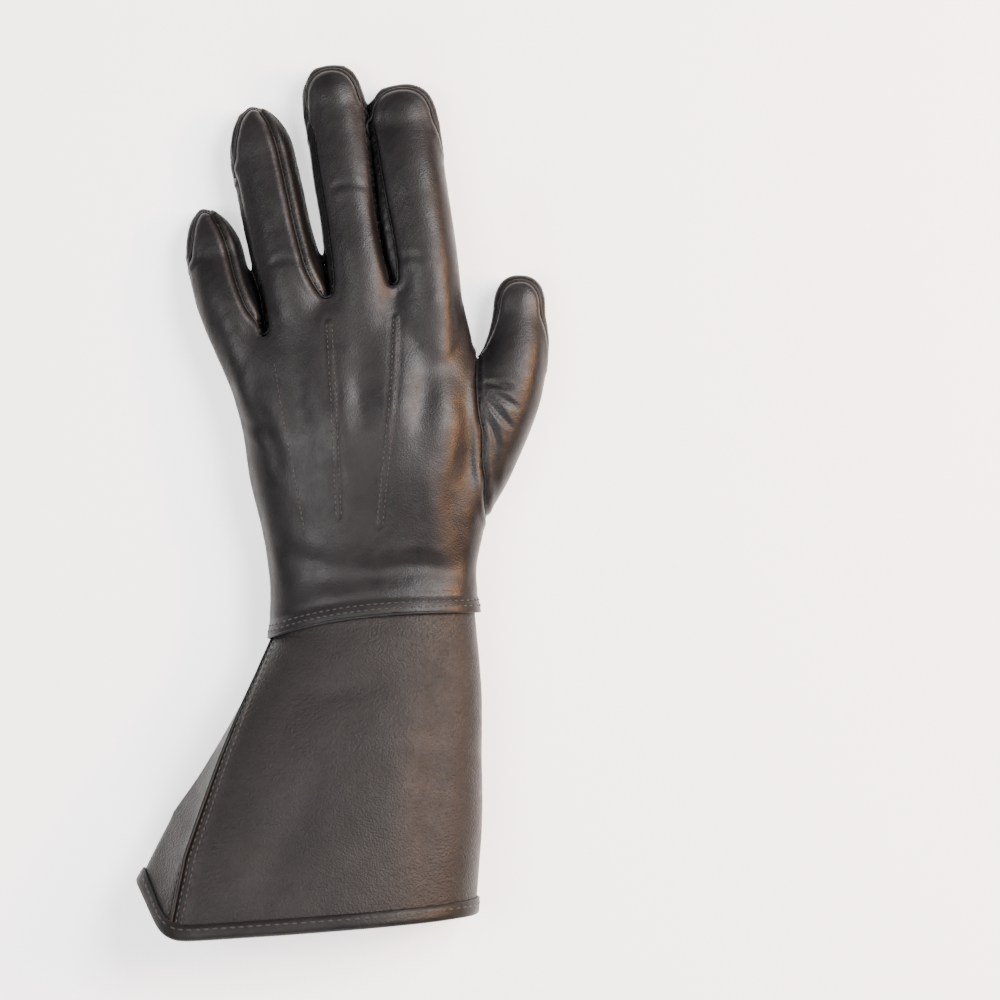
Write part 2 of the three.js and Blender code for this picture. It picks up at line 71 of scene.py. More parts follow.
# Strips between the fingers: finger, side (+1 is the thumb side), and the angles round the finger, in
# degrees up from its side, of the strip's upper and lower seam.
FORKS = {
    "fourchette_little_ring": [("little", 1, 60, -14), ("ring", -1, 24, -26)],
    "fourchette_ring_middle": [("ring", 1, 60, -14), ("middle", -1, 38, -22)],
    "fourchette_middle_index": [("middle", 1, 22, -26), ("index", -1, 38, -22)],
}

ROOT_ANGLE = 26  # of both seams at the crotch
FORK_FROM, FORK_TO = 0.12, 1.135  # shares of the finger's length

# Outline of the thumb's gusset on the palm, in plan.
LEAF = [(57, 42), (50, 41), (42.5, 34), (38.5, 22), (37.5, 9), (39, -3), (43, -13), (50, -15), (62, 0),
        (66, 25)]

# Where neighbouring fingers touch, from the crotch outwards, with the height of the slot's floor.
SLOTS = [
    [(-31.2, 68.5, 18.5), (-33.4, 83, 17), (-37.2, 95, 15.5)],
    [(-5.0, 84.5, 19.5), (-6.2, 93, 19), (-7.6, 101, 18)],
    [(20.9, 89, 20), (17.4, 103, 19), (15.4, 116, 17.5), (13.9, 130, 16), (11.8, 148, 13.2),
     (10.4, 163, 11.2)],
]

# Double stitched tucks on the back, in plan, from the knuckles to the wrist.
BACK_TUCKS = [
    [(-26.9, 55.8), (-24, 38), (-20.5, 19.5), (-14.2, -13.8)],
    [(-4.5, 71.9), (-3.4, 54), (-2.2, 35.6), (-0.4, -7.5)],
    [(22.9, 74.2), (22.3, 55), (20.9, 35.6), (16.2, -11.0)],
]
# Double rows on the palm, in plan, from the fingers to where they end.
PALM_TUCKS = [
    [(-51, 96), (-45, 66), (-36, 38), (-29, 12), (-25, -4.4)],
    [(-29, 126), (-20, 84), (-13, 50), (-3, 20), (5.8, 1.2)],
    [(0, 140), (7, 104), (13, 76)],
    [(28, 138), (35, 100), (38, 80)],
]
# Creases in the hide's back, in plan: their line, depth and width.
CREASES = [
    ([(54, 47), (62, 47), (71, 45)], 0.7, 1.1),
    ([(55, 45.5), (63, 43), (73, 37)], 0.6, 1.0),
    ([(56, 44), (62, 38), (70, 29)], 0.7, 1.2),
    ([(56, 42), (60, 33), (65, 21)], 0.6, 1.1),
    ([(60, 36), (62.5, 22), (63, 4)], 0.4, 2.0),
    ([(44, 56), (50, 42), (52.5, 24), (52, 2)], 0.35, 4.0),
    ([(42, 10), (47, -12), (48, -30)], 0.35, 4.0),
    ([(-44, 31), (-37, 30), (-27, 25)], 0.4, 2.4),
    ([(-34, 40), (-28, 26), (-24, 10)], 0.3, 3.0),
    ([(-31, -18), (-14, -24), (6, -25)], 0.3, 3.2),
    ([(14, -28), (32, -26), (50, -31)], 0.35, 3.0),
    ([(21, 96), (28, 99), (36, 98)], 0.22, 1.6),
    ([(-6, 126), (3, 129), (12, 127)], 0.2, 1.5),
    ([(-32, 94), (-23, 98), (-13, 96)], 0.2, 1.6),
]
# Elastic rows across the palm side of the wrist.
ELASTIC = [[(-22, -27), (0, -20), (34, -17)], [(-22, -43), (4, -38), (34, -35)]]

# Gauntlet, from its upper edge inside the hand to the hem: the thumb side's fold, the upper seam, the fold
# of the gusset and the lower seam as points, then where its crown is along X, the heights of the crown and
# of the underside, and how round the section is.
CUFF_TOP = ((53.8, -38, 19), (-27, -48.6, 20.5), (-27.3, -49.3, 19), (-27, -48.6, 17.5), 13.5, 36.7, 2.2, 1)
CUFF = [
    ((54.8, -46, 19), (-27.6, -56.6, 20.5), (-27.9, -57.3, 19), (-27.6, -56.6, 17.5), 13.5, 37.8, 2.1, 1),
    ((57.3, -77, 21), (-40.3, -86, 31), (-39.4, -81, 21), (-40, -86, 9), 12, 43, 1.5, 0.6),
    ((57.8, -107, 23), (-52.6, -116, 39), (-53.2, -105, 22.5), (-52.4, -116, 4.5), 6, 49, 1.4, 0.3),
    ((57.4, -138, 25), (-62.8, -147, 46), (-69.6, -129, 24), (-62.6, -147, 2.7), 0, 54, 1.4, 0.1),
    ((55.7, -167.5, 26), (-69.8, -177, 51), (-84.2, -152, 25), (-69.6, -176, 2.2), -5, 58, 1.4, 0),
]

# Soft hollows in the upper side: middle in plan, turn in degrees, half length, half width, depth.
DENTS = np.array([
    (38, -112, 86, 60, 12, 1.6),
    (5, -76, 8, 34, 9, 1.0),
    (-22, -140, 66, 44, 13, 1.4),
    (52, 14, 80, 24, 9, 2.5),
    (34, 40, 85, 26, 7, 1.5),
    (9, 40, 92, 30, 7, 1.5),
    (-17, 38, 100, 28, 7, 1.5),
    (12, -30, 3, 40, 7, 1.5),
], float)


def through(table, t):
    """Smooth curve through the rows of a table at shares t."""
    table = np.asarray(table, float)
    place = np.clip(np.asarray(t, float), 0, 1) * (len(table) - 1)
    start = np.minimum(place.astype(int), len(table) - 2)
    f = (place - start).reshape((-1,) + (1,) * (table.ndim - 1))
    a, b, c, d = (table[np.clip(start - 1 + i, 0, len(table) - 1)] for i in range(4))
    return b + 0.5 * f * (c - a + f * (2 * a - 5 * b + 4 * c - d + f * (3 * (b - c) + d - a)))


def power(value, exponent):
    return np.sign(value) * np.abs(value) ** exponent


def unit(vectors):
    """Vectors brought to length one."""
    return vectors / np.maximum(np.linalg.norm(vectors, axis=-1, keepdims=True), 1e-9)


def ridge(distance, height, at, width):
    """A rounded ridge at a distance from a line, or a groove where its height is negative."""
    return height * np.exp(-((distance - at) / width) ** 2)


def wrist_slant(x):
    """Share of the wrist edge's droop, growing towards the little finger."""
    return np.maximum(0, (56 - x) / 86) ** 3


def step(low, high, value):
    f = np.clip((value - low) / (high - low), 0, 1)
    return f * f * (3 - 2 * f)


def dent(x, y):
    total = np.zeros_like(x)
    for cx, cy, turn, long, wide, depth in DENTS:
        a = math.radians(turn)
        along = (x - cx) * math.cos(a) + (y - cy) * math.sin(a)
        across = (y - cy) * math.cos(a) - (x - cx) * math.sin(a)
        total += depth * np.exp(-2 * (along / long) ** 2 - 2 * (across / wide) ** 2)
    return total


def wobble(points, size, seed):
    """Smooth noise from -1 to 1 at points, with features of that size in millimetres."""
    shift = Vector((seed * 17.3, seed * 5.1, seed * 9.7))
    return np.array([noise.noise(Vector(p) / size + shift) for p in points])


# Forms
def section(count):
    """Cosines and sines round a section, each as a row."""
    angle = np.pi * (1 - 2 * np.arange(count) / count)
    return np.cos(angle)[None], np.sin(angle)[None]


def hand_rings():
    y, left, right, mid, top, bottom, wrist, knuckle = through(HAND, np.linspace(0, 1, 70)).T
    run, rise = section(96)
    upper = rise >= 0
    exponent = np.where(upper, 2 / HAND_TOP, 2 / HAND_SOLE)
    x = ((left + right) / 2)[:, None] + ((right - left) / 2)[:, None] * power(run, exponent)
    height = np.where(upper, (top - mid)[:, None], (mid - bottom)[:, None]) * power(rise, exponent)
    z = mid[:, None] + height
    plan = y[:, None] - wrist[:, None] * WRIST_DROOP * wrist_slant(x)
    plan = plan + knuckle[:, None] * KNUCKLE_RISE * step(*KNUCKLES, x)
    z = z - np.clip((z - mid[:, None]) / 12, 0, 1) * dent(x, plan)
    rings = np.stack([x, plan, np.maximum(z, 0)], axis=2)
    # a little more at the wrist, which is trimmed off again
    first = rings[0] + np.array([0, -4, 0])
    return np.concatenate([first[None], rings])


def finger_frame(name):
    """Stations of a finger with its rounded tip: x, y, width, depth, z, share, and its direction."""
    tip, point, table = FINGERS[name]
    rows = through(table, np.linspace(0, 1, SAMPLES))
    ahead = unit(rows[-1, :2] - rows[-4, :2])
    shares = 1 - (1 - np.linspace(0, 1, 24)[1:]) ** 2.2
    shares = shares * 0.998  # the last ring keeps a little width
    end = np.repeat(rows[-1:], len(shares), axis=0)
    end[:, :2] += ahead * (shares * tip)[:, None]
    share = np.concatenate([np.ones(SAMPLES), (1 - shares ** point) ** (1 / point)])
    rows = np.concatenate([rows, end])
    return rows, share, unit(np.gradient(rows[:, :2], axis=0))


def finger_rings(name):
    rows, share, along = finger_frame(name)
    keep = np.concatenate([np.arange(0, SAMPLES, 3), np.arange(SAMPLES, len(rows))])
    rows, share, along = rows[keep], share[keep], along[keep]
    run, rise = section(56)
    exponent = np.where(rise >= 0, 2 / FINGER_TOP, 2 / FINGER_SOLE)
    side = np.stack([along[:, 1], -along[:, 0]], axis=1)
    across = (rows[:, 2] / 2 * share)[:, None] * power(run, exponent)
    height = (rows[:, 3] / 2 * share)[:, None] * power(rise, exponent)
    x = rows[:, 0:1] + side[:, 0:1] * across
    y = rows[:, 1:2] + side[:, 1:2] * across
    return np.stack([x, y, np.maximum(rows[:, 4:5] + height, 0)], axis=2)


def ring_faces(stations, count):
    """Faces round a row of rings, and a cap on the first and the last."""
    faces = []
    for r in range(stations - 1):
        for i in range(count):
            a, b = r * count + i, r * count + (i + 1) % count
            faces.append((a, b, b + count, a + count))
    faces.append(tuple(range(count))[::-1])
    faces.append(tuple((stations - 1) * count + i for i in range(count)))
    return faces


def closed_loft(rings):
    return rings.reshape(-1, 3), ring_faces(*rings.shape[:2])


def joined(parts):
    """One mesh from several, each given as its vertices and faces."""
    verts, faces, offset = [], [], 0
    for v, f in parts:
        verts.append(v)
        faces += [tuple(i + offset for i in face) for face in f]
        offset += len(v)
    return np.concatenate(verts), faces


def placed(name, data):
    obj = bpy.data.objects.new(name, data)
    bpy.context.scene.collection.objects.link(obj)
    return obj


def mesh_object(name, verts, faces, scale=MM, smooth=True):
    mesh = bpy.data.meshes.new(name)
    mesh.from_pydata((np.asarray(verts) * scale).tolist(), [], [tuple(map(int, f)) for f in faces])
    mesh.validate()
    if smooth:
        mesh.polygons.foreach_set("use_smooth", [True] * len(mesh.polygons))
    return placed(name, mesh)


def remeshed(parts, voxel):
    """One skin round overlapping closed forms, as vertices in millimetres and triangles."""
    obj = mesh_object("skin", *joined(parts))
    bpy.context.view_layer.objects.active = obj
    obj.select_set(True)
    obj.data.remesh_voxel_size = voxel * MM
    obj.data.remesh_voxel_adaptivity = 0
    bpy.ops.object.voxel_remesh()
    mesh = obj.data
    mesh.calc_loop_triangles()
    points = np.empty(len(mesh.vertices) * 3)
    mesh.vertices.foreach_get("co", points)
    tris = np.empty(len(mesh.loop_triangles) * 3, int)
    mesh.loop_triangles.foreach_get("vertices", tris)
    bpy.data.objects.remove(obj)
    return points.reshape(-1, 3) / MM, tris.reshape(-1, 3)


def sides_of(tris):
    """The three sides of every triangle: all first ones, then all second and all third ones."""
    return np.concatenate([tris[:, [0, 1]], tris[:, [1, 2]], tris[:, [2, 0]]])


def edges_of(tris):
    return np.unique(np.sort(sides_of(tris), axis=1), axis=0)


def spread(values, edges, rounds):
    """Evens values out over a mesh's edges."""
    count = np.maximum(np.bincount(edges.ravel(), minlength=len(values)).astype(float), 1)
    values = values.copy()
    flat = values.reshape(len(values), -1)
    for _ in range(rounds):
        total = np.stack([
            np.bincount(edges[:, 0], flat[edges[:, 1], k], len(flat))
            + np.bincount(edges[:, 1], flat[edges[:, 0], k], len(flat)) for k in range(flat.shape[1])
        ], axis=1)
        flat += 0.5 * (total / count[:, None] - flat)
    return flat.reshape(values.shape)


def normals_of(verts, tris):
    cross = np.cross(verts[tris[:, 1]] - verts[tris[:, 0]], verts[tris[:, 2]] - verts[tris[:, 0]])
    normals = np.zeros_like(verts)
    for k in range(3):
        np.add.at(normals, tris[:, k], cross)
    return unit(normals)


def split_at_zero(verts, tris, field):
    """Cuts the triangles that cross field = 0 along that line. Returns the vertices and triangles, and for
    each triangle whether the field is positive on it and which one it comes from."""
    field = np.where(np.abs(field) < 1e-4, 1e-4, field)
    sign = field > 0
    crossing = sign[tris].any(axis=1) & ~sign[tris].all(axis=1)
    new_verts, made, out, side = [], {}, [], []

    def between(a, b):
        key = (min(a, b), max(a, b))
        if key not in made:
            f = min(max(field[a] / (field[a] - field[b]), 0.02), 0.98)
            made[key] = len(verts) + len(new_verts)
            new_verts.append(verts[a] + f * (verts[b] - verts[a]))
        return made[key]

    for tri in tris[crossing]:
        alone = [i for i in range(3) if sign[tri[i - 1]] == sign[tri[(i + 1) % 3]]][0]
        a, b, c = tri[alone], tri[(alone + 1) % 3], tri[(alone + 2) % 3]
        ab, ac = between(a, b), between(a, c)
        out += [(a, ab, ac), (ab, b, c), (ab, c, ac)]
        side += [sign[a], sign[b], sign[b]]
    keep = tris[~crossing]
    all_tris = np.concatenate([keep, np.array(out, int).reshape(-1, 3)])
    inside = np.concatenate([sign[keep[:, 0]], np.array(side, bool)])
    if new_verts:
        verts = np.concatenate([verts, np.array(new_verts)])
    origin = np.concatenate([np.where(~crossing)[0], np.repeat(np.where(crossing)[0], 3)])
    return verts, all_tris, inside, origin


def along_finger(points, name):
    """Where points lie on a finger: share of its length, distance across and height from its middle, width
    and depth there, distance ahead of the nearest station, and how far the tip has closed."""
    rows, share, along = finger_frame(name)
    best = np.empty(len(points), int)
    for s in range(0, len(points), 20000):
        block = points[s:s + 20000, :2]
        gap = ((block[:, None] - rows[None, :, :2]) ** 2).sum(axis=2)
        best[s:s + 20000] = gap.argmin(axis=1)
    offset = points[:, :2] - rows[best, :2]
    side = np.stack([along[best, 1], -along[best, 0]], axis=1)
    across = (offset * side).sum(axis=1)
    ahead = (offset * along[best]).sum(axis=1)
    run = best / (SAMPLES - 1)
    return run, across, points[:, 2] - rows[best, 4], rows[best, 2], rows[best, 3], ahead, share[best]


def finger_depth_in(points, name):
    """Rough distance outside a finger's form, negative inside."""
    run, across, height, width, depth, ahead, share = along_finger(points, name)
    size = np.maximum(share, 0.05)
    u = np.abs(across) / (width / 2 * size)
    v = np.abs(height) / (depth / 2 * size)
    past = np.maximum(np.where(run <= 0, -ahead, np.where(run > 1.14, ahead, 0)), 0)
    return ((u ** FINGER_MEAN + v ** FINGER_MEAN) ** (1 / FINGER_MEAN) - 1) * depth / 2 * size + past


def hand_depth_in(points):
    """Rough distance outside the hand's form, negative inside."""
    x, y, z = points.T
    left, right, mid, top, bottom = (np.interp(y, HAND[:, 0], HAND[:, k]) for k in range(1, 6))
    u = np.abs(x - (left + right) / 2) / ((right - left) / 2)
    upper = z >= mid
    v = np.abs(z - mid) / np.where(upper, top - mid, mid - bottom)
    p = np.where(upper, HAND_TOP, HAND_SOLE)
    half_depth = 19
    return ((u ** p + v ** p) ** (1 / p) - 1) * half_depth


def polygon_distance(points, outline):
    """Distance inside a closed outline in plan, negative outside."""
    outline = np.asarray(outline, float)
    xy = points[:, :2]
    nearest = np.full(len(xy), 1e9)
    inside = np.zeros(len(xy), bool)
    for a, b in zip(outline, np.roll(outline, -1, axis=0)):
        d = b - a
        f = np.clip(((xy - a) @ d) / (d @ d), 0, 1)
        nearest = np.minimum(nearest, np.linalg.norm(xy - a - f[:, None] * d, axis=1))
        cross = (a[1] > xy[:, 1]) != (b[1] > xy[:, 1])
        with np.errstate(divide="ignore", invalid="ignore"):
            hit = xy[:, 0] < (b[0] - a[0]) * (xy[:, 1] - a[1]) / (b[1] - a[1]) + a[0]
        inside ^= cross & hit
    return np.where(inside, nearest, -nearest)


def fork_field(points, sides):
    """Positive on the strip between two fingers."""
    best = np.full(len(points), -1e3)
    for name, direction, upper, lower in sides:
        run, across, height, width, depth, ahead, share = along_finger(points, name)
        size = np.maximum(share, 0.2)
        angle = np.degrees(np.arctan2(height / (depth * size), direction * across / (width * size)))
        rolled = step(0.2, 0.5, run)
        high = ROOT_ANGLE + (upper - ROOT_ANGLE) * rolled
        low = -ROOT_ANGLE + (lower + ROOT_ANGLE) * rolled
        # a strip that climbs on to the finger's back keeps its width to the tip
        fade = np.where(upper > 50, 1, np.sqrt(np.clip((1.1 - run) / 0.25, 0, 1)))
        reach = (high - low) / 2 * fade - 2
        here = (reach - np.abs(angle - (high + low) / 2)) * math.radians(depth.mean() / 2)
        here = np.minimum(here, np.minimum((run - FORK_FROM) * 60, (FORK_TO - run) * 60 + 0.4))
        near = 2.5 - np.abs(finger_depth_in(points, name))
        best = np.maximum(best, np.minimum(here, near))
    return best


def chain(edges):
    """Ordered runs of vertices through edges. A closed run ends on its first vertex."""
    edges = [tuple(sorted(map(int, edge))) for edge in edges]
    left = set(edges)
    links = {}
    for a, b in edges:
        links.setdefault(a, []).append(b)
        links.setdefault(b, []).append(a)
    runs = []
    starts = [v for v, near in links.items() if len(near) != 2] + list(links)
    for start in starts:
        for first in links[start]:
            if tuple(sorted((start, first))) not in left:
                continue
            run = [start]
            here, after = start, first
            while True:
                left.discard(tuple(sorted((here, after))))
                run.append(after)
                here = after
                options = [n for n in links[here] if tuple(sorted((here, n))) in left]
                if not options or len(links[here]) != 2:
                    break
                after = options[0]
            runs.append(run)
    return runs


def lengths_along(points):
    return np.concatenate([[0], np.cumsum(np.linalg.norm(np.diff(points, axis=0), axis=1))])


def evened(points, pitch, rounds, closed=False):
    """A polyline smoothed and set out again at an even pitch."""
    p = np.asarray(points, float)
    for _ in range(rounds):
        q = p.copy()
        q[1:-1] = 0.25 * p[:-2] + 0.5 * p[1:-1] + 0.25 * p[2:]
        if closed:
            q[0] = q[-1] = 0.25 * p[-2] + 0.5 * p[0] + 0.25 * p[1]
        p = q
    length = lengths_along(p)
    count = max(int(length[-1] / pitch), 2)
    at = np.linspace(0, length[-1], count + 1)
    return np.stack([np.interp(at, length, p[:, k]) for k in range(3)], axis=1)


def curve_distance(points, line, reach):
    """Distance from points to a polyline, or reach where it is further."""
    out = np.full(len(points), float(reach))
    low, high = line.min(axis=0) - reach, line.max(axis=0) + reach
    near = np.where(((points > low) & (points < high)).all(axis=1))[0]
    for s in range(0, len(near), 4000):
        block = near[s:s + 4000]
        gap = np.sqrt(((points[block][:, None] - line[None]) ** 2).sum(axis=2)).min(axis=1)
        out[block] = np.minimum(gap, reach)
    return out


def tube(line, radius, sides=7, closed=False):
    """A round cord along a polyline."""
    line = np.asarray(line, float)
    tangent = np.gradient(line, axis=0)
    if closed:
        tangent[0] = tangent[-1] = line[1] - line[-2]
    tangent = unit(tangent)
    across = unit(np.cross(tangent, [0.13, 0.31, 0.94]))  # any direction that no cord runs in
    up = np.cross(across, tangent)
    radius = np.broadcast_to(radius, len(line))
    angle = 2 * np.pi * np.arange(sides) / sides
    rings = line[:, None] + radius[:, None, None] * (
        np.cos(angle)[None, :, None] * across[:, None] + np.sin(angle)[None, :, None] * up[:, None])
    faces = [(face[0], *face[:0:-1]) for face in ring_faces(len(line), sides)]
    return rings.reshape(-1, 3), faces


def stitches(line, normals, pitch=2.6, length=1.9, width=0.62, lift=0.03):
    """Short rounded threads end to end along a line."""
    total = lengths_along(line)
    parts = []
    faces = ring_faces(4, 6)[:-2]
    for i in range(6):
        faces += [(24, (i + 1) % 6, i), (25, 18 + i, 18 + (i + 1) % 6)]

    def at(table, place):
        return np.array([np.interp(place, total, table[:, k]) for k in range(3)])

    for m in np.arange(pitch / 2, total[-1], pitch):
        p = at(line, m)
        t = at(line, m + 0.4) - at(line, m - 0.4)
        if np.linalg.norm(t) < 1e-6:
            continue
        t = unit(t)
        n = at(normals, m)
        n = unit(n - t * (n @ t))
        s = np.cross(n, t)
        verts = []
        for share, size in ((-0.4, 0.62), (-0.15, 0.95), (0.15, 0.95), (0.4, 0.62)):
            for i in range(6):
                a = 2 * np.pi * i / 6
                verts.append(p + t * share * length + n * lift
                             + (s * np.cos(a) + n * np.sin(a) * 0.8) * size * width / 2)
        verts += [p - t * length / 2 + n * (lift - 0.12), p + t * length / 2 + n * (lift - 0.12)]
        parts.append((np.array(verts), faces))
    return parts


# Materials
def feed(material, node, sockets):
    """Sets a node's inputs, by name or number, to values, or links them to other nodes' sockets."""
    for key, value in sockets.items():
        if isinstance(value, bpy.types.NodeSocket):
            material.node_tree.links.new(value, node.inputs[key])
        else:
            node.inputs[key].default_value = value


def add_node(material, kind, sockets, **settings):
    node = material.node_tree.nodes.new(kind)
    for key, value in settings.items():
        setattr(node, key, value)
    feed(material, node, sockets)
    return node


def mix(material, first, second, factor):
    """Blends two colours, each given as a tuple or a socket."""
    first, second = ((*c, 1) if isinstance(c, tuple) else c for c in (first, second))
    return add_node(material, "ShaderNodeMix", {6: first, 7: second, 0: factor}, data_type="RGBA").outputs[2]


def new_material(name):
    material = bpy.data.materials.new(name)
    material.use_nodes = True
    return material


def dressed(material, sockets, height=None, depth=0.0):
    """Feeds a material's shader. A height raises its surface, by a depth in millimetres."""
    if height:
        relief = {"Strength": 0.6, "Distance": depth * MM, "Height": height}
        sockets["Normal"] = add_node(material, "ShaderNodeBump", relief).outputs["Normal"]
    feed(material, material.node_tree.nodes["Principled BSDF"], sockets)
    return material


def leather(name, dark, light, roughness, grain, grain_depth, sheen=0.0):
    """Leather between two tones, with a grain of that many cells to the metre. The vertices' shade paints
    shade into it in creases, seams and the slots between the fingers, and rubs it lighter on ridges."""
    material = new_material(name)
    place = add_node(material, "ShaderNodeTexCoord", {}).outputs["Object"]

    def patches(scale, detail, rough, distortion=0.0):
        sockets = {"Vector": place, "Scale": scale, "Detail": detail, "Roughness": rough}
        sockets["Distortion"] = distortion
        return add_node(material, "ShaderNodeTexNoise", sockets).outputs["Fac"]

    def ramp(source, low, high, start, end):
        sockets = {"Value": source, "From Min": low, "From Max": high, "To Min": start, "To Max": end}
        return add_node(material, "ShaderNodeMapRange", sockets).outputs["Result"]

    def worked_out(operation, *values):
        return add_node(material, "ShaderNodeMath", dict(enumerate(values)), operation=operation).outputs[0]

    tone = mix(material, dark, light, ramp(patches(42, 5, 0.6, 0.6), 0.32, 0.68, 0, 1))
    stored = add_node(material, "ShaderNodeAttribute", {}, attribute_name="shade").outputs["Color"]
    shades = add_node(material, "ShaderNodeSeparateColor", {0: stored}).outputs
    # painted shade: the red channel of the shade attribute darkens the colour towards black
    tone = mix(material, tone, (0.002, 0.002, 0.002), shades[0])
    rubbed = worked_out("MULTIPLY", shades[1], ramp(patches(260, 4, 0.7), 0.35, 0.65, 0.3, 1))
    tone = mix(material, tone, tuple(min(3.2 * c + 0.02, 1) for c in light), rubbed)
    uneven = ramp(patches(90, 6, 0.65), 0.3, 0.7, roughness - 0.07, roughness + 0.1)
    cells = add_node(material, "ShaderNodeTexVoronoi", {"Vector": place, "Scale": grain, "Smoothness": 0.6},
                     feature="SMOOTH_F1").outputs["Distance"]
    height = worked_out("MULTIPLY_ADD", cells, -0.55, patches(grain * 0.9, 4, 0.55))
    return dressed(material, {"Base Color": tone, "Roughness": uneven, "Specular IOR Level": 0.20,
                              "Sheen Weight": sheen, "Sheen Roughness": 0.5}, height, grain_depth)


def thread_material(name, dark, light):
    material = new_material(name)
    place = add_node(material, "ShaderNodeTexCoord", {}).outputs["Object"]
    strands = add_node(material, "ShaderNodeTexWave", {"Vector": place, "Scale": 900, "Distortion": 1.5})
    strands = strands.outputs["Fac"]
    tone = mix(material, dark, light, strands)
    return dressed(material, {"Base Color": tone, "Roughness": 0.6}, strands, 0.1)


def closed_sheet(outer, inner, around=False):
    """A sheet with thickness from two grids, whose rows may close on themselves. Returns vertices, faces
    (outer, inner, then rim) and where the outer and the inner ones end."""
    rows, cols = outer.shape[:2]
    verts = np.concatenate([outer.reshape(-1, 3), inner.reshape(-1, 3)])
    far = rows * cols
    front, back, rim = [], [], []
    span = rows if around else rows - 1
    for r in range(span):
        for c in range(cols - 1):
            a, b = r * cols + c, ((r + 1) % rows) * cols + c
            front.append((a, b, b + 1, a + 1))
            back.append((far + a, far + a + 1, far + b + 1, far + b))
        for c, flip in ((0, False), (cols - 1, True)):
            a, b = r * cols + c, ((r + 1) % rows) * cols + c
            quad = (a, far + a, far + b, b)
            rim.append(quad[::-1] if flip else quad)
    if not around:
        for r, flip in ((0, False), (rows - 1, True)):
            for c in range(cols - 1):
                a = r * cols + c
                quad = (a, a + 1, far + a + 1, far + a)
                rim.append(quad[::-1] if flip else quad)
    return verts, front + back + rim, len(front), len(front) + len(back)


def cuff_grid(rows, quarter):
    """Whole ring of the gauntlet at each row: panel points, then gusset points."""
    table = [np.concatenate([np.ravel(v) for v in row]) for row in CUFF]
    main = through(table, np.linspace(0, 1, rows))
    top = np.concatenate([np.ravel(v) for v in CUFF_TOP])
    main = np.array([*(top + (main[0] - top) * f for f in (0, 0.33, 0.67)), *main])
    share = np.arange(quarter) / quarter
    turn = np.pi / 2 * share
    grid = []
    for row in main:
        right, seam, fold, under = row[:12].reshape(4, 3)
        middle, crown, floor, round_ = row[12:16]
        floor = max(floor, 1.4)
        round_ = min(max(round_, 0), 1)

        def place(x, z, start):
            f = (x - start[0]) / (right[0] - start[0])
            return np.stack([x, start[1] + (right[1] - start[1]) * f, z], axis=1)

        run = share + (1 - np.cos(turn) - share) * round_
        rise = (1 - (1 - run) ** 2.3) ** (1 / (1 + 1.3 * round_))
        back_left = place(seam[0] + (middle - seam[0]) * run, seam[2] + (crown - seam[2]) * rise, seam)
        back_right = place(middle + (right[0] - middle) * np.sin(turn) ** (2 / 2.3),
                           right[2] + (crown - right[2]) * np.cos(turn) ** (2 / 2.3), seam)
        palm_right = place(middle + (right[0] - middle) * np.cos(turn) ** (2 / 3),
                           right[2] - (right[2] - floor) * np.sin(turn) ** (2 / 3), under)
        last = np.append(share, 1)
        run = last + (np.sin(np.pi / 2 * last) - last) * round_
        oval = 1 - np.maximum(1 - run ** 3, 0) ** (1 / 3)
        lifted = run ** 4 + (oval - run ** 4) * round_
        palm_left = place(middle + (under[0] - middle) * run, floor + (under[2] - floor) * lifted, under)
        f = np.linspace(0, 1, 20)[1:, None]
        first = under + (fold - under) * f
        second = fold + (seam - fold) * f[:-1]
        grid.append(np.concatenate([back_left, back_right, palm_right, palm_left, first, second]))
    return np.array(grid), 4 * quarter + 1


def grid_normals(grid):
    across = np.roll(grid, -1, axis=1) - np.roll(grid, 1, axis=1)
    return unit(np.cross(np.gradient(grid, axis=0), across))


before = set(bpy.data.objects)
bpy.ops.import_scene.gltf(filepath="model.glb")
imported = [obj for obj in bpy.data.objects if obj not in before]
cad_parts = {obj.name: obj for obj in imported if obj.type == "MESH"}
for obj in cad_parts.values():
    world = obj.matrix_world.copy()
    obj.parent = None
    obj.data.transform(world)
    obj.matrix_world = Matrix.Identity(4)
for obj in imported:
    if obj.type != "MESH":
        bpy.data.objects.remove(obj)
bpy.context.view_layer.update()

# The camera looks straight down.
camera_data = bpy.data.cameras.new("camera")
camera_data.lens = 150
camera_data.sensor_width = 36
camera_data.clip_end = 20
camera = placed("camera", camera_data)
camera.location = (0.0651, -0.0003, 1.729)
bpy.context.scene.camera = camera

hand_leather = leather("hand_leather", (0.0048, 0.0044, 0.0051), (0.0080, 0.0073, 0.0083), 0.40, 1600, 0.13)
# painted shade: the strips between the fingers take a darker copy of the hand leather for their sideways
# faces
shaded_side_leather = leather("shaded_side_leather", (0.0025, 0.0023, 0.0026), (0.0045, 0.0041, 0.0046), 0.40, 1600, 0.13)
cuff_leather = leather("cuff_leather", (0.0066, 0.0058, 0.0060), (0.0098, 0.0086, 0.0087), 0.45, 1250, 0.52)
edge_leather = leather("edge_leather", (0.0025, 0.0022, 0.0022), (0.0055, 0.0048, 0.0048), 0.46, 900, 0.2)
inside_leather = leather("inside_leather", (0.030, 0.024, 0.020), (0.050, 0.040, 0.034), 0.85, 1500, 0.3,
                         sheen=0.25)
thread = thread_material("thread", (0.005, 0.0045, 0.0045), (0.024, 0.021, 0.0205))

# The skin of the whole hand
forms = [closed_loft(hand_rings())] + [closed_loft(finger_rings(name)) for name in FINGERS]
verts, tris = remeshed(forms, VOXEL)
verts = spread(verts, edges_of(tris), 7)
# the fingers' roots blend into the hand along the knuckles
even = spread(verts, edges_of(tris), 60)
knuckle_line = 63 + KNUCKLE_RISE * step(*KNUCKLES, verts[:, 0])
blend = np.exp(-((verts[:, 1] - knuckle_line) / 15) ** 4)
blend = blend * (step(21, 27, verts[:, 2]) + step(12, 7, verts[:, 2]))
verts = verts + (even - verts) * np.clip(blend, 0, 1)[:, None]


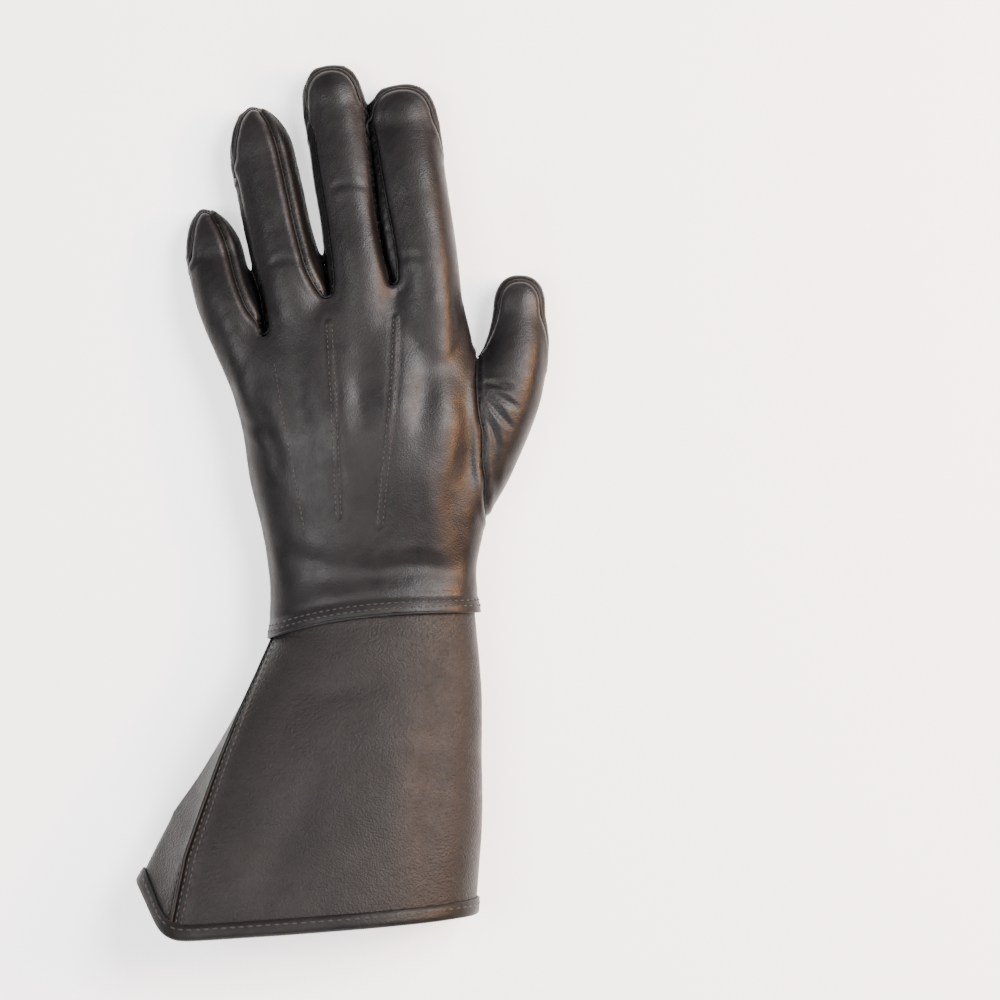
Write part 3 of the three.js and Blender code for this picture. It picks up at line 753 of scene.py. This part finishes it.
def slots(points):
    """1 on a line where two fingers touch, in plan, falling to 0 beside it, and the floor's height."""
    share, floor_height = np.zeros(len(points)), np.zeros(len(points))
    for line in SLOTS:
        line = through(line, np.linspace(0, 1, 120))
        near = ridge(curve_distance(points * (1, 1, 0), line * (1, 1, 0), 6), 1, 0, 1.35)
        floor_height = np.where(near > share, np.interp(points[:, 1], line[:, 1], line[:, 2]), floor_height)
        share = np.maximum(share, near)
    return share, floor_height


slot, slot_floor = slots(verts)
verts[:, 2] -= slot * np.maximum(verts[:, 2] - slot_floor, 0)

# Regions of the skin: 0 is the hide, 1 to 3 are the strips between the fingers
THUMB_REGION, LEAF_REGION, TRIMMED = 4, 5, 6
label = np.zeros(len(tris), int)


def cut_region(field_of, number):
    """Gives the hide where a field is positive a region's number, cutting triangles along its edge."""
    global verts, tris, label
    verts, tris, inside, origin = split_at_zero(verts, tris, field_of(verts))
    label = np.where(inside & (label[origin] == 0), number, label[origin])


def wrist_field(points):
    return WRIST_EDGE - WRIST_DROOP * wrist_slant(points[:, 0]) - points[:, 1]


def thumb_field(points):
    other_side = np.where(points[:, 0] > 25, 0.0, -30.0)
    return np.minimum(hand_depth_in(points) - finger_depth_in(points, "thumb"), 40) + other_side


def leaf_field(points):
    below = 9.0 - points[:, 2]
    return np.minimum(polygon_distance(points, LEAF), below)


cut_region(wrist_field, TRIMMED)
cut_region(thumb_field, THUMB_REGION)
for number, name in enumerate(FORKS, 1):
    cut_region(lambda points, name=name: fork_field(points, FORKS[name]), number)
cut_region(leaf_field, LEAF_REGION)
keep = label != TRIMMED
tris, label = tris[keep], label[keep]

# Seam lines, from the edges between two regions
owner = np.tile(label, 3)
order = np.sort(sides_of(tris), axis=1)
keys = order[:, 0].astype(np.int64) * (len(verts) + 1) + order[:, 1]
rank = np.argsort(keys, kind="stable")
keys, owner, order = keys[rank], owner[rank], order[rank]
same = np.where(keys[1:] == keys[:-1])[0]
between_regions = same[owner[same] != owner[same + 1]]
seam_runs = [r for r in chain(order[between_regions]) if len(r) > 12]
lonely = np.ones(len(keys), bool)
lonely[same] = False
lonely[same + 1] = False
rim_runs = [r for r in chain(order[lonely]) if len(r) > 40]
seams = [evened(verts[run], PITCH, 40, run[0] == run[-1]) for run in seam_runs]
rims = [evened(verts[run], PITCH, 8, True) for run in rim_runs]
wrist_rims = [line for line in rims if np.ptp(line[:, 0]) >= 60]

tree = BVHTree.FromPolygons(verts.tolist(), tris.tolist())


def toward(starts, ends, rounds=4):
    """Points on the skin met on the way from starts to ends, evened out."""
    out = []
    for a, b in zip(starts, ends):
        way = Vector(b) - Vector(a)
        hit = tree.ray_cast(Vector(a), way.normalized())
        if hit[0] is not None and hit[3] <= way.length:
            out.append(hit[0][:])
    return evened(out, PITCH, rounds)


def drop(line, direction):
    """Plan points, set out evenly and laid on the skin from above (-1) or below (+1)."""
    flat = evened(through([(x, y, 0) for x, y in line], np.linspace(0, 1, 200)), PITCH, 0)
    return toward(flat - (0, 0, 60 * direction), flat + (0, 0, 60 * direction), 3)


def tip_seam(name, left_from, right_from, lift=6.0):
    """The seam round a fingertip, from shares of the finger's length on either side. It climbs on to the
    tip's upper face. Without a share on the right it ends at the tip."""
    rows, _, along = finger_frame(name)
    side = np.stack([along[:, 1], -along[:, 0]], axis=1)
    reach = FINGERS[name][0] + 2
    clear = 2.2  # the rays start this far outside the finger
    last = SAMPLES - 1
    starts, ends = [], []

    def aim(i, way, height):
        starts.append((*(rows[i, :2] + way), rows[i, 4] + height))
        ends.append((*rows[i, :2], rows[i, 4] + height))

    for i in range(int(left_from * last), SAMPLES, 2):
        aim(i, -side[i] * (rows[i, 2] / 2 + clear), 1 + (lift - 1) * step(left_from, 1, i / last))
    for turn in np.linspace(-80, 80 if right_from else 4, 33):
        a = math.radians(turn)
        height = lift if right_from else lift + (2 - lift) * step(-60, 4, turn)
        wide = rows[last, 2] / 2 + 2
        aim(last, along[last] * math.cos(a) * reach + side[last] * math.sin(a) * wide, height)
    for i in range(last, int((right_from or 1) * last), -2):
        aim(i, side[i] * (rows[i, 2] / 2 + clear), 1 + (lift - 1) * step(right_from, 1, i / last))
    return toward(starts, ends)


def outer_seam():
    """The seam down the little-finger side, from the finger to the wrist."""
    ys = np.linspace(96, -55, 150)
    mids = np.interp(ys, [-46, 46, 60, 89, 104], [19, 20, 18.5, 15.5, 12])
    return toward([(-110, y, z) for y, z in zip(ys, mids)], [(0, y, z) for y, z in zip(ys, mids)])


tip_seams = [tip_seam("little", 0.96, None), tip_seam("ring", 0.9, None), tip_seam("middle", 0.9, 0.9),
             tip_seam("index", 0.9, 0.8), tip_seam("thumb", 0.5, 0.7, 6.5)]
side_seam = outer_seam()
creases = [(drop(line, -1), depth, width) for line, depth, width in CREASES]
back_tucks = [drop(line, -1) for line in BACK_TUCKS]
palm_tucks = [drop(line, 1) for line in PALM_TUCKS]
elastic = [drop(line, 1) for line in ELASTIC]

# Relief: seams sink and puff up beside, tucks stand up between two rows
normals = normals_of(verts, tris)
# dark holds painted shade: it darkens the colour in the seams, beside the tucks, in the creases and in the
# slots between the fingers. worn is rubbed wear on ridges.
relief, dark, worn = np.zeros((3, len(verts)))
for line in seams + tip_seams + [side_seam]:
    d = curve_distance(verts, line, 9)
    relief += ridge(d, -1.0, 0, 1.1) + ridge(d, 0.4, 3.0, 1.5)
    dark = np.maximum(dark, ridge(d, 0.9, 0, 1.3))
    worn = np.maximum(worn, ridge(d, 0.4, 2.4, 0.8))
for line in back_tucks[1:] + palm_tucks:
    d = curve_distance(verts, line, 9)
    relief += ridge(d, 0.16, 0, 1.0) - ridge(d, 0.16, 1.8, 0.9)
    dark = np.maximum(dark, ridge(d, 0.8, 1.2, 0.5))
    worn = np.maximum(worn, ridge(d, 0.12, 0, 0.5))
for line, depth, width in creases:
    d = curve_distance(verts, line, 5 * width)
    middle = line[len(line) // 2]
    half = np.linalg.norm(line[-1] - line[0]) / 2
    ends = np.clip(1.15 - (np.linalg.norm(verts - middle, axis=1) / half) ** 2, 0, 1)
    relief += ends * depth * (ridge(d, 0.45, 2.1 * width, width) - ridge(d, 1, 0, width))
    dark = np.maximum(dark, ends * ridge(2 * d, min(depth, 0.6), 0, width))
for line in rims:
    d = curve_distance(verts, line, 12)
    relief += ridge(d, 0.25, 2, 2.2) - ridge(d, 0.35, 7.2, 1.5)
slot, slot_floor = slots(verts)
# painted shade in the slots where the fingers touch
dark = np.maximum(dark, slot * (verts[:, 2] > slot_floor - 1))
# elastic draws the palm side of the wrist into upright puckers
x, y, z = verts.T
low_side = step(12, 5, z)
pucker = ridge(y, 1, -31, 15) * low_side
relief += pucker * 0.9 * np.sin(x * 1.15 + 0.9 * np.sin(y * 0.3))
# soft unevenness of worn leather
relief += 0.55 * wobble(verts, 26, 1) + 0.14 * wobble(verts, 9, 2) + 0.05 * wobble(verts, 4, 3)
relief[z < 0.4] = np.minimum(relief[z < 0.4], 0)
moved = verts + normals * relief[:, None]
moved[:, 2] = np.maximum(moved[:, 2], 0)
skin_normals = normals_of(moved, tris)
skin_tree = BVHTree.FromPolygons(moved.tolist(), tris.tolist())


def settle(line, lift=0.0):
    """A line laid on the finished skin, with its normals."""
    spots, ways = [], []
    for p in line:
        hit = skin_tree.find_nearest(Vector(p))
        spots.append(np.array(hit[0]) + lift * np.array(hit[1]))
        ways.append(hit[1][:])
    ways = np.array(ways)
    for _ in range(3):
        ways[1:-1] = (ways[:-2] + 2 * ways[1:-1] + ways[2:]) / 4
    return np.array(spots), unit(ways)


def across_line(spots, ways):
    """The direction in the skin that crosses a line."""
    return unit(np.cross(ways, unit(np.gradient(spots, axis=0))))


def beside(line, distance):
    """The same line moved across the skin, to the side that is higher up when distance is positive."""
    spots, ways = settle(line)
    return settle(evened(spots + across_line(spots, ways) * distance, PITCH, 14))


def piece(name, nodes, points, faces, materials, indices=None, slot="hand_leather", shades=None):
    """A visible piece, from points in millimetres, that stands in for those nodes of the solids. The shades
    give each point's painted shade (red) and how rubbed (green) it is."""
    points = np.array(points, float)
    points[:, 2] = np.maximum(points[:, 2], 0)  # nothing goes below the surface that it lies on
    obj = mesh_object(name, points, faces)
    for material in materials:
        obj.data.materials.append(material)
    if indices is not None and len(indices) == len(obj.data.polygons):
        obj.data.polygons.foreach_set("material_index", indices)
    data = np.zeros((len(points), 4), np.float32)
    data[:, 3] = 1
    if shades is not None:
        data[:, :2] = shades
    obj.data.color_attributes.new("shade", "FLOAT_COLOR", "POINT").data.foreach_set("color", data.ravel())
    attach(obj, "root")
    if nodes:
        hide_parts(*nodes)


def region_piece(number, name, nodes, material):
    """A region of the skin, given its wall."""
    used, compact = np.unique(tris[label == number], return_inverse=True)
    compact = compact.reshape(-1, 3)
    outer = moved[used]
    inner = outer - skin_normals[used] * WALL
    inner[:, 2] = np.maximum(inner[:, 2], np.minimum(outer[:, 2] + WALL * 0.7, WALL))
    count = len(used)
    edge = sides_of(compact)
    code = np.sort(edge, axis=1)
    key = code[:, 0].astype(np.int64) * (count + 1) + code[:, 1]
    _, first, times = np.unique(key, return_index=True, return_counts=True)
    rim = edge[first[times == 1]]
    faces = [tuple(t) for t in compact] + [tuple(t[::-1] + count) for t in compact]
    faces += [(b, a, a + count, b + count) for a, b in rim]
    indices = [0] * len(compact) + [1] * len(compact) + [2] * len(rim)
    shades = np.stack([np.tile(dark[used], 2), np.tile(worn[used], 2)], axis=1)
    piece(name, nodes, np.concatenate([outer, inner]), faces, [material, inside_leather, edge_leather],
          indices, "hand_leather", shades)


region_piece(0, "hand_hide", ["hand_back", "hand_palm"], hand_leather)
for number, name in enumerate(FORKS, 1):
    # the strips carry painted shade through their darker leather
    region_piece(number, name + "_strip", [name], shaded_side_leather)
region_piece(THUMB_REGION, "thumb_leather", ["thumb"], hand_leather)
region_piece(LEAF_REGION, "thumb_gusset_leather", ["thumb_gusset"], hand_leather)

# Raised raw edges along the seams, and the rolled edge at the wrist
welts = []
for run in seam_runs:
    spots = evened(moved[run] + skin_normals[run] * 0.15, PITCH, 24, run[0] == run[-1])
    welts.append(tube(spots, 0.55 + 0.05 * wobble(spots, 6, 5)))
for line in tip_seams + [side_seam]:
    spots = evened(settle(line)[0], PITCH, 12)
    spots = evened(settle(spots, 0.25)[0], PITCH, 4)
    welts.append(tube(spots, 0.75 + 0.07 * wobble(spots, 6, 5)))
piece("hand_seam_edges", [], *joined(welts), [edge_leather])
rolls = []
for line in wrist_rims:
    spots = evened(line, 0.9, 2)
    rolls.append(tube(spots + np.array([0, 0.2, 0]), 0.6 + 0.05 * wobble(spots, 8, 6), 10, True))
piece("wrist_rolled_edge", [], *joined(rolls), [hand_leather])

threads = []
for line, rows_of in zip(back_tucks, ((0.0,), (-1.1, 1.1), (-1.2, 1.2))):
    for distance in rows_of:
        threads += stitches(*beside(line, distance), pitch=2.2, length=1.5, width=0.5, lift=0.03)
for line in palm_tucks:
    for distance in (-1.4, 1.4):
        threads += stitches(*beside(line, distance), pitch=3.0)
for line in elastic:
    spots, ways = settle(line)
    phase = np.arange(len(spots)) * PITCH
    zigzag = 2.0 * (2 * np.abs((phase / 5.0) % 1 - 0.5) - 0.5)
    threads += stitches(*settle(spots + across_line(spots, ways) * zigzag[:, None]), pitch=2.4, length=2.1)
for line in wrist_rims:
    for distance in (2.6, 5.0):
        threads += stitches(*settle(line + np.array([0, distance, 0])), pitch=2.8, width=0.7)
piece("hand_stitching", [], *joined(threads), [thread])

# Gauntlet
grid, panel_count = cuff_grid(150, 34)
# the hem's corners are rounded
near_hem = np.clip((np.arange(len(grid)) - (len(grid) - 40)) / 30, 0, 1)
for _ in range(20):
    soft = 0.25 * np.roll(grid, 1, axis=1) + 0.5 * grid + 0.25 * np.roll(grid, -1, axis=1)
    grid += (soft - grid) * near_hem[:, None, None]
flat = grid.reshape(-1, 3)
grid[..., 2] -= np.clip((grid[..., 2] - 26) / 10, 0, 1) * dent(grid[..., 0], grid[..., 1])
ways = grid_normals(grid)
lumps = wobble(flat, 34, 7).reshape(grid.shape[:2])
small = wobble(flat, 11, 8).reshape(grid.shape[:2])
fade = step(0, 20, np.arange(len(grid)))[:, None]
grid = grid + ways * ((0.7 * lumps + 0.12 * small) * fade)[..., None]
grid[..., 2] = np.maximum(grid[..., 2], 1.4)
ways = grid_normals(grid)
inner = grid - ways * CUFF_WALL
inner[..., 2] = np.maximum(inner[..., 2], 3.0)


def cuff_piece(name, node, columns):
    """Part of the gauntlet, with painted shade along its seams and rubbed beside them."""
    v, f, front, back = closed_sheet(grid[:, columns], inner[:, columns])
    indices = [0] * front + [1] * (back - front) + [2] * (len(f) - back)
    column = np.arange(len(columns))
    from_edge = np.minimum(column, column[::-1])
    # red is painted shade along the seams, green is rubbed wear beside them
    shades = np.stack([ridge(from_edge, 0.7, 0, 1.3), ridge(from_edge, 0.25, 3, 1.5)], axis=1)
    piece(name, [node], v, f, [cuff_leather, inside_leather, edge_leather], indices, "cuff_leather",
          np.tile(shades, (2 * len(grid), 1)))


total = grid.shape[1]
cuff_piece("cuff_panel_leather", "cuff_panel", np.arange(0, panel_count))
cuff_piece("cuff_gusset_leather", "cuff_gusset", np.append(np.arange(panel_count - 1, total), 0))

cuff_tubes, cuff_threads = [], []
for column in (0, panel_count - 1):
    line = evened(grid[:, column] + ways[:, column] * 0.3, 0.9, 2)
    cuff_tubes.append(tube(line, 0.8))


def cuff_line(column, direction, distance):
    """A line over the gauntlet at a distance from a seam's column, with its normals."""
    cols = []
    for row in range(len(grid)):
        travelled, c = 0.0, column
        while travelled < distance:
            after = (c + direction) % total
            gap = np.linalg.norm(grid[row, after] - grid[row, c % total])
            if travelled + gap >= distance:
                c = c + direction * (distance - travelled) / max(gap, 1e-6)
                break
            travelled += gap
            c = c + direction
        cols.append(c)
    rows = np.arange(len(grid))
    low = np.floor(cols).astype(int)
    f = (np.array(cols) - low)[:, None]
    a, b = low % total, (low + 1) % total
    p = grid[rows, a] * (1 - f) + grid[rows, b] * f
    n = ways[rows, a] * (1 - f) + ways[rows, b] * f
    return p + n * 0.05, n


for column, direction in ((0, 1), (panel_count - 1, -1)):
    for distance in (2.0, 4.4):
        p, n = cuff_line(column, direction, distance)
        cuff_threads += stitches(p[6:], n[6:], pitch=2.8, length=1.9, width=0.75, lift=0.06)
for column, direction in ((0, -1), (panel_count - 1, 1)):
    p, n = cuff_line(column, direction, 2.4)
    cuff_threads += stitches(p[25:], n[25:], pitch=3.2)
piece("cuff_seam_edges", [], *joined(cuff_tubes), [edge_leather], slot="cuff_leather")

# Binding folded over the hem
hem, out = grid[-1], ways[-1]
down = unit(hem - grid[-4])
# outer and inner side of the strip, as distances out from the gauntlet and down past its hem
profile = [(0.7, -5.2), (1.15, -4.9), (1.2, -3.0), (1.3, -1.0), (1.25, 0.7), (0.8, 1.4), (-0.9, 1.7),
           (-2.7, 1.5), (-3.3, 0.7), (-3.45, -1.0), (-3.4, -3.0), (-3.4, -6.0)]
inside = [(0.25, -5.2), (0.3, -4.6), (0.3, -3.0), (0.3, -1.0), (0.3, 0.2), (0.2, 0.3), (-0.9, 0.35),
          (-1.9, 0.3), (-2.1, 0.2), (-2.1, -1.0), (-2.1, -3.0), (-2.1, -6.0)]
wave = 0.25 * wobble(hem, 9, 11)
rows_out = np.stack([hem + out * (a + 0.12 * wave[:, None]) + down * b for a, b in profile], axis=1)
rows_in = np.stack([hem + out * a + down * b for a, b in inside], axis=1)
rows_out[..., 2] = np.maximum(rows_out[..., 2], 0)
rows_in[..., 2] = np.maximum(rows_in[..., 2], 0.6)
v, f = closed_sheet(rows_out[:, ::-1], rows_in[:, ::-1], around=True)[:2]
piece("hem_binding_strip", ["hem_binding"], v, f, [edge_leather], slot="hem_leather")
ring = np.concatenate([hem, hem[:1]]) + np.concatenate([down, down[:1]]) * -2.9
ring_n = np.concatenate([out, out[:1]])
cuff_threads += stitches(ring + ring_n * 1.15, ring_n, pitch=3.6, length=2.4, width=0.75)
piece("cuff_stitching", [], *joined(cuff_threads), [thread], slot="cuff_leather")

# Floor and light
floor = mesh_object("floor", [(-4, -4, 0), (4, -4, 0), (4, 4, 0), (-4, 4, 0)], [(0, 1, 2, 3)], 1.0, False)
floor.location.z = -0.0002
floor.data.materials.append(dressed(new_material("floor"), {
    "Base Color": (0.97, 0.97, 0.97, 1), "Roughness": 0.9,
    "Emission Color": (1, 1, 1, 1), "Emission Strength": 1.2}))

AIM = (0, 0, 0.02)
world = bpy.data.worlds.new("studio")
world.use_nodes = True
background = world.node_tree.nodes["Background"]
background.inputs["Color"].default_value = (0.98, 0.99, 1.0, 1)
background.inputs["Strength"].default_value = 0.3
bpy.context.scene.world = world


def light(name, place, size, energy, colour):
    """A rectangular light at a place in metres, turned to the glove."""
    data = bpy.data.lights.new(name, "AREA")
    data.shape = "RECTANGLE"
    data.size, data.size_y = size
    data.energy = energy
    data.color = colour
    obj = placed(name, data)
    obj.location = place
    obj.rotation_euler = (Vector(AIM) - Vector(place)).to_track_quat("-Z", "Y").to_euler()


light("key", (0.78, 0.42, 1.35), (0.7, 0.6), 55, (0.97, 0.98, 1.0))
light("left_key", (-0.6, -0.05, 1.4), (0.5, 0.7), 20, (1.0, 0.98, 0.96))
light("warm_side", (1.0, 0.15, 0.76), (0.4, 0.2), 27, (1.0, 0.48, 0.18))
light("near_hem", (-0.1, -1.9, 0.9), (0.8, 0.8), 41, (0.98, 0.99, 1.0))

bpy.context.view_layer.update()
